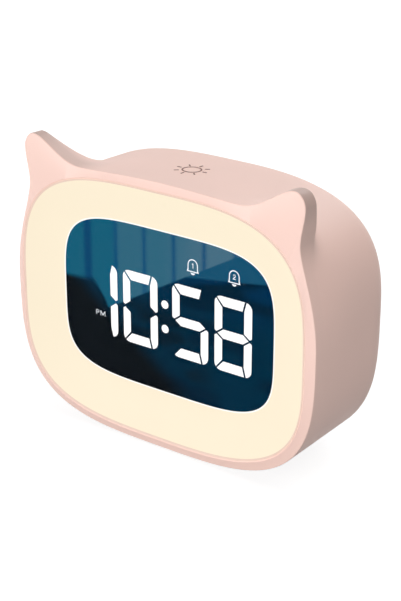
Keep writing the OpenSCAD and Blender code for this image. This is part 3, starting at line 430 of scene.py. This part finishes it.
def film_painted_reflection(name, roughness):
    """The film's near-black ink with a painted reflection glowing on it: each colour meets the next along a
    soft edge.
    """
    material, tree = blank(name)
    place = add(tree, "ShaderNodeTexCoord").outputs["Object"]
    split = add(tree, "ShaderNodeSeparateXYZ", {0: place}).outputs
    # an edge rises from 0 to 1 as across * x + up * z goes from start to end, in mm
    edge = {}
    for key, across, up, start, end in (
            ("paler", 1, 0, -24.5, -21.5), ("palest", 1, 0, -4, 20), ("past first fold", 1, 0, -31, -29),
            ("under slant", -0.57, 1, 65.9, 64.9), ("over slant", -0.57, 1, 64.8, 66),
            ("over shoulder", -0.15, 1, 68.7, 69.9), ("brim", 1, 0, -36, -22), ("bluer", 0, 1, 50, 80),
            ("low", 0, 1, 62, 50), ("left", 1, 0, 28, 10), ("corner", 1, 1.4, 52, 32)):
        line = add(tree, "ShaderNodeVectorMath", {0: place, 1: (across, 0, up)}, operation="DOT_PRODUCT")
        edge[key] = add(tree, "ShaderNodeMapRange", {
            0: line.outputs["Value"], 1: start * MM, 2: end * MM}, interpolation_type="SMOOTHSTEP").outputs[0]
    # soft slanting folds, 13 mm wide and drawn out along the slant
    lean = add(tree, "ShaderNodeMapping", {
        "Vector": place, "Rotation": (0, math.radians(32), 0), "Scale": (0.45, 1, 1.3)}).outputs[0]
    folds = add(tree, "ShaderNodeTexNoise", {
        "Vector": lean, "Scale": 1 / (13 * MM), "Detail": 1.5}).outputs[0]
    for key, start, end in (("shaded folds", 0.5, 0.62), ("black folds", 0.56, 0.44)):
        edge[key] = add(tree, "ShaderNodeMapRange", {
            0: folds, 1: start, 2: end}, interpolation_type="SMOOTHSTEP").outputs[0]

    # teal above, paler to the right; each fold has a narrow deep-blue valley, the first one a wide deep one
    shifted = add(tree, "ShaderNodeMath", {
        0: split["X"], 1: (VALLEY + FOLD / 2) * MM}, operation="ADD").outputs[0]
    off_crest = add(tree, "ShaderNodeMath", {0: shifted, 1: FOLD / 2 * MM}, operation="PINGPONG").outputs[0]
    narrow = add(tree, "ShaderNodeMapRange", {
        0: edge["past first fold"], 3: 0.28 * FOLD * MM, 4: 0.35 * FOLD * MM}).outputs[0]
    depth = add(tree, "ShaderNodeMath", {0: off_crest, 1: narrow}, operation="SUBTRACT").outputs[0]
    valley = add(tree, "ShaderNodeMapRange", {
        0: depth, 1: 0.0, 2: 0.17 * FOLD * MM, 4: 0.85}, interpolation_type="SMOOTHSTEP").outputs[0]
    valley_blue = add(tree, "ShaderNodeMix", {
        0: edge["past first fold"], 6: linear("#053e69"), 7: linear("#0d4974")}, data_type="RGBA").outputs[2]
    teal = linear("#115c77")
    for share, tint in (
            (edge["paler"], linear("#2f657c")), (edge["palest"], linear("#466d82")),
            (valley, valley_blue), (edge["under slant"], linear("#15506f"))):
        teal = add(tree, "ShaderNodeMix", {0: share, 6: teal, 7: tint}, data_type="RGBA").outputs[2]

    # navy below, bluer near the teal, with shaded folds, and near black at the lower left
    dark = edge["low"]
    for operation, other in (
            ("MULTIPLY", edge["left"]), ("MULTIPLY", edge["black folds"]), ("MULTIPLY", 0.6),
            ("MAXIMUM", edge["corner"])):
        dark = add(tree, "ShaderNodeMath", {0: dark, 1: other}, operation=operation).outputs[0]
    dusk = linear("#01293f")
    for share, tint in ((edge["bluer"], "#012d4f"), (edge["shaded folds"], "#021f33"), (dark, "#080d12")):
        dusk = add(tree, "ShaderNodeMix", {0: share, 6: dusk, 7: linear(tint)}, data_type="RGBA").outputs[2]

    # the teal lies over the navy above the slanting edge, and on the left above a wavy brim
    level = split["Z"]
    for wave, height in ((folds, 8), (edge["brim"], 14)):
        level = add(tree, "ShaderNodeMath", {
            0: wave, 1: height * MM, 2: level}, operation="MULTIPLY_ADD").outputs[0]
    high = add(tree, "ShaderNodeMapRange", {
        0: level, 1: 61.7 * MM, 2: 64.7 * MM}, interpolation_type="SMOOTHSTEP").outputs[0]
    above = add(tree, "ShaderNodeMath", {
        0: edge["over slant"], 1: edge["over shoulder"]}, operation="MAXIMUM").outputs[0]
    shown = add(tree, "ShaderNodeMath", {0: above, 1: high}, operation="MULTIPLY").outputs[0]
    painted_reflection = add(tree, "ShaderNodeMix", {0: shown, 6: dusk, 7: teal}, data_type="RGBA").outputs[2]
    # the near-black ink is the film's own colour; the painted reflection is given as its glow
    shader = add(tree, "ShaderNodeBsdfPrincipled", {
        "Base Color": linear("#020304"), "Roughness": roughness, "Specular IOR Level": 0.0,
        "Emission Color": painted_reflection, "Emission Strength": 1.0})
    add(tree, "ShaderNodeOutputMaterial", {"Surface": shader.outputs[0]})
    return material


def dress(node, material):
    """Gives a node of the frame its finish."""
    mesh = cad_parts[node].data
    mesh.materials.clear()
    mesh.materials.append(material)


film = film_painted_reflection("Polyester film, screen printed, dark blue", 0.4)
dress("display_film", film)
# the same ink, with its painted reflection, masks the panel's ledge, so that no light leaks round the lens
finish_rows(panel, LEDGE_ROWS, film)
# strokes that are off show nothing but the film's ink and its painted reflection
resin_off = film_painted_reflection("Smoked epoxy, unlit, behind the print", 0.5)
dress("unlit_segments", resin_off)

# The lit strokes are milky epoxy with white LEDs under them; they glow evenly to their edges.
resin_lit = lit_plastic("Milky epoxy, lit white", "#404040", "#ffffff", 0.98, 1.02, 3, 0.4)
for node in ("lit_segments", "colon_dots"):
    dress(node, resin_lit)

# The bells and letters are thin windows in the print, so less light comes through.
for node, low, high in (("alarm_1_icon", 0.86, 0.94), ("alarm_2_icon", 0.86, 0.94), ("pm_mark", 0.66, 0.74)):
    name = "Frosted window in the print, lit white, " + node
    dress(node, lit_plastic(name, "#404448", "#f4f9ff", low, high, 1, 0.5))


# --- Display lens ---------------------------------------------------------
# A cut-out of clear acrylic with a coat that takes nearly all mirror light away, set in at the
# foot of the dish. The tape behind the film holds both to the ledge; the ink and its painted reflection run
# round the edge.
BEVEL = 0.03
acrylic, tree = blank("Clear acrylic, polished, anti-reflection coat")
place = add(tree, "ShaderNodeTexCoord").outputs["Object"]
waves = add(tree, "ShaderNodeTexNoise", {"Vector": place, "Scale": 1 / (30 * MM), "Detail": 0}).outputs[0]
relief = add(tree, "ShaderNodeBump", {"Height": waves, "Distance": 0.005 * MM, "Strength": 0.2}).outputs[0]
bare = add(tree, "ShaderNodeBsdfPrincipled", {
    "Base Color": linear("#ffffff"), "Roughness": 0.0, "IOR": 1.49, "Specular IOR Level": 0.03,
    "Specular Tint": linear("#303030"), "Normal": relief, "Transmission Weight": 1.0})
coat = add(tree, "ShaderNodeBsdfRefraction", {"Roughness": 0.0, "IOR": 1.49, "Normal": relief})
both = add(tree, "ShaderNodeMixShader", {0: 0.85, 1: bare.outputs[0], 2: coat.outputs[0]})
add(tree, "ShaderNodeOutputMaterial", {"Surface": both.outputs[0]})

rings = [outline_ring(LENS, DISH, -BEVEL), outline_ring(LENS, DISH + BEVEL, 0)]
rings += [outline_ring(LENS, LENS_BACK, 0)]
lens = skin("display_lens_cut", rings, acrylic, loop=False, caps=True, crease=20)
# rows 0 to 2 are its bevel and its cut edge, in the film's ink and painted reflection
finish_rows(lens, (0, 2), film)
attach(lens, "clock")
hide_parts("display_lens")


# --- Touch mark -----------------------------------------------------------
# A sun pad-printed in warm brown ink on the top, over the copper plate that feels a fingertip.
# The ink lies a tenth of a millimetre proud and is duller than the case, with specks of 0.5 mm.
ink, tree = blank("Pad-printing ink, warm brown")
place = add(tree, "ShaderNodeTexCoord").outputs["Object"]
speck = add(tree, "ShaderNodeTexNoise", {"Vector": place, "Scale": 1 / (0.5 * MM), "Detail": 2}).outputs[0]
colour = add(tree, "ShaderNodeMix", {
    0: speck, 6: linear("#7c554c"), 7: linear("#8f685e")}, data_type="RGBA").outputs[2]
shader = add(tree, "ShaderNodeBsdfPrincipled", {
    "Base Color": colour, "Roughness": 0.6, "Specular IOR Level": 0.3})
add(tree, "ShaderNodeOutputMaterial", {"Surface": shader.outputs[0]})
dress("sun_mark", ink)


# --- Rear cover, door and keys --------------------------------------------
# The cover and the battery door are moulded in the same pink ABS as the case, with a coarser
# grain. Four screws hold the cover; the keys are a paler pink and stand a little proud.
cover_pink, _ = satin_plastic("ABS, moulded with a coarser grain, pink", "#f6d0c4", 0.6, 0.55, 0.012)
for node in ("rear_cover", "battery_door"):
    dress(node, cover_pink)
# the keys' finer grain lets them shine a little more than the cover
key_pink, _ = satin_plastic("ABS, moulded, pale pink", "#fde3d9", 0.35, 0.45, 0.004)
for node in ("set_key", "alarm_1_key", "alarm_2_key", "minus_key", "plus_key"):
    dress(node, key_pink)


# --- Metal, boards and inner parts ----------------------------------------
# Zinc-plated screws, tinned contacts and springs, steel and paper in the speaker, and the
# boards, leads and plastic carriers that the shell hides until the door or cover is off.
def plated(name, code, roughness, scratch):
    """Rolled or plated metal: scratches and spangle, as wide as given in mm, vary the shine."""
    material, tree = blank(name)
    place = add(tree, "ShaderNodeTexCoord").outputs["Object"]
    lines = add(tree, "ShaderNodeTexNoise", {
        "Vector": place, "Scale": 1 / (scratch * MM), "Detail": 3}).outputs[0]
    rough = add(tree, "ShaderNodeMapRange", {
        0: lines, 1: NOISE_LOW, 2: NOISE_HIGH, 3: roughness - 0.08, 4: roughness + 0.08}).outputs[0]
    shader = add(tree, "ShaderNodeBsdfPrincipled", {
        "Base Color": linear(code), "Metallic": 1.0, "Roughness": rough})
    add(tree, "ShaderNodeOutputMaterial", {"Surface": shader.outputs[0]})
    return material


for name, code, roughness, scratch, nodes in (
        ("Zinc-plated steel", "#b9bcc0", 0.35, 0.8, ("board_screws", "cover_screws", "key_board_screws")),
        ("Tinned spring steel", "#d2d4d6", 0.25, 0.6, (
            "display_pins", "crystal", "power_socket", "battery_springs", "battery_contacts")),
        ("Copper foil", "#d08a5a", 0.35, 1.0, ("touch_plate",)),
        ("Blackened steel", "#3a3b3e", 0.45, 1.0, ("speaker_frame", "speaker_magnet"))):
    material = plated(name, code, roughness, scratch)
    for node in nodes:
        dress(node, material)

# colour, grain in mm, roughness and relief in mm: solder mask, sleeves and LEDs shine, while
# foam, paper and rubber are dull and open
for name, code, grain, roughness, bump, nodes in (
        ("Glass-fibre board, green solder mask", "#2f7d4f", 1.2, 0.35, 0.01, ("main_board", "key_board")),
        ("Moulded black plastic", "#1c1d20", 0.5, 0.45, 0.006, (
            "display_block", "switch_bodies", "set_stem", "alarm_1_stem", "alarm_2_stem", "minus_stem",
            "plus_stem")),
        ("Chip resin", "#26282b", 0.3, 0.6, 0.006, ("clock_chip",)),
        ("Moulded white plastic", "#f2f2f0", 0.4, 0.4, 0.004, ("light_tray",)),
        ("Natural nylon", "#efe9dc", 0.5, 0.4, 0.004, ("lead_sockets",)),
        ("LED package resin", "#ffe9a8", 0.3, 0.25, 0.002, ("night_light_leds",)),
        ("Shrink sleeve, blue", "#31466b", 0.8, 0.25, 0.004, ("buffer_capacitor",)),
        ("PVC insulation, red", "#c8443c", 0.8, 0.45, 0.004, ("touch_lead",)),
        ("PVC insulation, dark red", "#7a2a26", 0.8, 0.45, 0.004, ("speaker_leads", "battery_leads")),
        ("Flat cable, grey", "#d9d9d6", 1.27, 0.45, 0.02, ("board_ribbon",)),
        ("Foam tape, black", "#101114", 0.4, 0.9, 0.02, ("lens_tape",)),
        ("Pressed paper, black", "#232427", 0.3, 0.9, 0.02, ("speaker_cone",)),
        ("Plain foil sleeve, silver", "#c9ced3", 1.0, 0.3, 0.003, ("battery_cells",)),
        ("Soft rubber, taupe", "#8a8079", 0.4, 0.8, 0.01, ("rubber_feet",))):
    material, _ = satin_plastic(name, code, grain, roughness, bump)
    for node in nodes:
        dress(node, material)


# --- Studio ---------------------------------------------------------------
# A wide white table, a pale room and four soft lamps aimed at the middle of the clock.
# The table looks white to the eye, in gloss and through the lens, more so away from the clock,
# and keeps the clock's shadow.
TABLE = 4  # half its width
MIDDLE = Vector((0, 0, 55)) * MM


def seen_directly(tree):
    """1 for what the eye sees straight, in gloss or through acrylic, 0 for light on matt surfaces."""
    path = add(tree, "ShaderNodeLightPath").outputs
    seen = path["Is Camera Ray"]
    for ray in ("Is Glossy Ray", "Is Transmission Ray"):
        seen = add(tree, "ShaderNodeMath", {
            0: seen, 1: path[ray]}, operation="ADD", use_clamp=True).outputs[0]
    return seen


floor_white, tree = blank("Studio table, matt white")
place = add(tree, "ShaderNodeTexCoord").outputs["Object"]
away = add(tree, "ShaderNodeVectorMath", {0: place}, operation="LENGTH").outputs["Value"]
# the glow is painted weaker near the clock, a broad painted shade round it
white = add(tree, "ShaderNodeMapRange", {0: away, 1: 0.15, 2: 0.8, 3: 0.87, 4: 1.0}).outputs[0]
glow = add(tree, "ShaderNodeMath", {0: seen_directly(tree), 1: white}, operation="MULTIPLY").outputs[0]
matt = add(tree, "ShaderNodeBsdfDiffuse", {"Color": linear("#8c8c8c")})
light = add(tree, "ShaderNodeEmission", {"Color": linear("#ffffff"), "Strength": glow})
both = add(tree, "ShaderNodeAddShader", {0: matt.outputs[0], 1: light.outputs[0]})
add(tree, "ShaderNodeOutputMaterial", {"Surface": both.outputs[0]})
mesh = bpy.data.meshes.new("table")
corners = [(-TABLE, -TABLE, 0), (TABLE, -TABLE, 0), (TABLE, TABLE, 0), (-TABLE, TABLE, 0)]
mesh.from_pydata(corners, [], [(0, 1, 2, 3)])
mesh.materials.append(floor_white)
table = bpy.data.objects.new("table", mesh)
bpy.context.collection.objects.link(table)

# matt surfaces get a broad soft light from high on the left behind the clock
world = bpy.data.worlds.new("pale room")
bpy.context.scene.world = world
world.use_nodes = True
world.node_tree.nodes.clear()
tree = world.node_tree
toward = add(tree, "ShaderNodeTexCoord").outputs["Generated"]
facing = add(tree, "ShaderNodeVectorMath", {
    0: toward, 1: (-0.61, 0.61, 0.51)}, operation="DOT_PRODUCT").outputs["Value"]
facing = add(tree, "ShaderNodeMath", {0: facing, 1: 0.0}, operation="MAXIMUM").outputs[0]
ambient = add(tree, "ShaderNodeMath", {0: facing, 1: facing}, operation="MULTIPLY").outputs[0]
strength = add(tree, "ShaderNodeMapRange", {0: seen_directly(tree), 3: ambient, 4: 1.0}).outputs[0]
room = add(tree, "ShaderNodeBackground", {"Color": linear("#ffffff"), "Strength": strength})
add(tree, "ShaderNodeOutputWorld", {"Surface": room.outputs[0]})


def lamp(name, around, height, distance, size, share):
    """Square soft lamp at angles from straight in front and from level, aimed at the clock's middle;
    share 1 lights a surface that faces it to its own colour."""
    a, h = math.radians(around), math.radians(height)
    place = Vector((math.sin(a) * math.cos(h), -math.cos(a) * math.cos(h), math.sin(h))) * distance
    light = bpy.data.lights.new(name, "AREA")
    light.size = size
    light.energy = share * math.pi ** 2 * distance ** 2
    lamp_object = bpy.data.objects.new(name, light)
    lamp_object.location = place + MIDDLE
    lamp_object.rotation_euler = place.to_track_quat("Z", "Y").to_euler()
    bpy.context.collection.objects.link(lamp_object)


lamp("front left", -30, 5, 1.0, 0.6, 0.78)
lamp("front right", 30, 5, 0.45, 0.3, 0.54)
lamp("high right", 90, 60, 1.0, 0.6, 0.29)
lamp("behind", 180, 40, 1.0, 0.6, 0.32)
